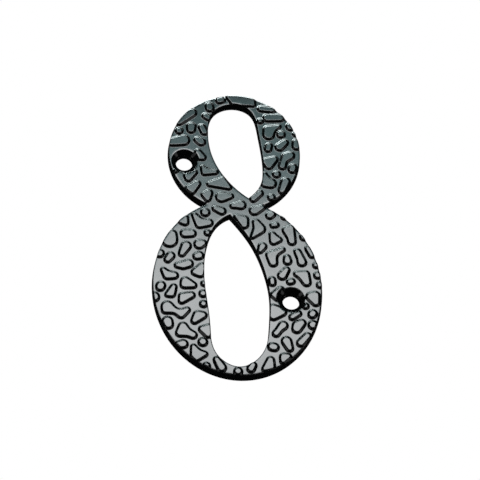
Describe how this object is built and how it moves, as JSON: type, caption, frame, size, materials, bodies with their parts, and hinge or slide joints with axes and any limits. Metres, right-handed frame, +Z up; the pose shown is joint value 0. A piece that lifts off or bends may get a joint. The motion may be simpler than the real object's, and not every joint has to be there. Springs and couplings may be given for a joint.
{
  "type": "house number",
  "caption": "Flat cast figure eight for a door or wall, with a raised pebble pattern on its face, a plain back and countersunk holes for wood screws.",
  "frame": {"origin": "on the flat back, midway between the axes of the two screw holes", "axes": "+Z up the figure as it is read, +X to the reader's right, +Y out of the back into the wall; the pebbled face looks along -Y"},
  "size_m": [0.0401, 0.003, 0.0754],
  "materials": {
    "black_enamel": "smooth gloss black coating over the whole casting"
  },
  "bodies": {
    "root": {"numeral": "black_enamel"}
  },
  "joints": []
}
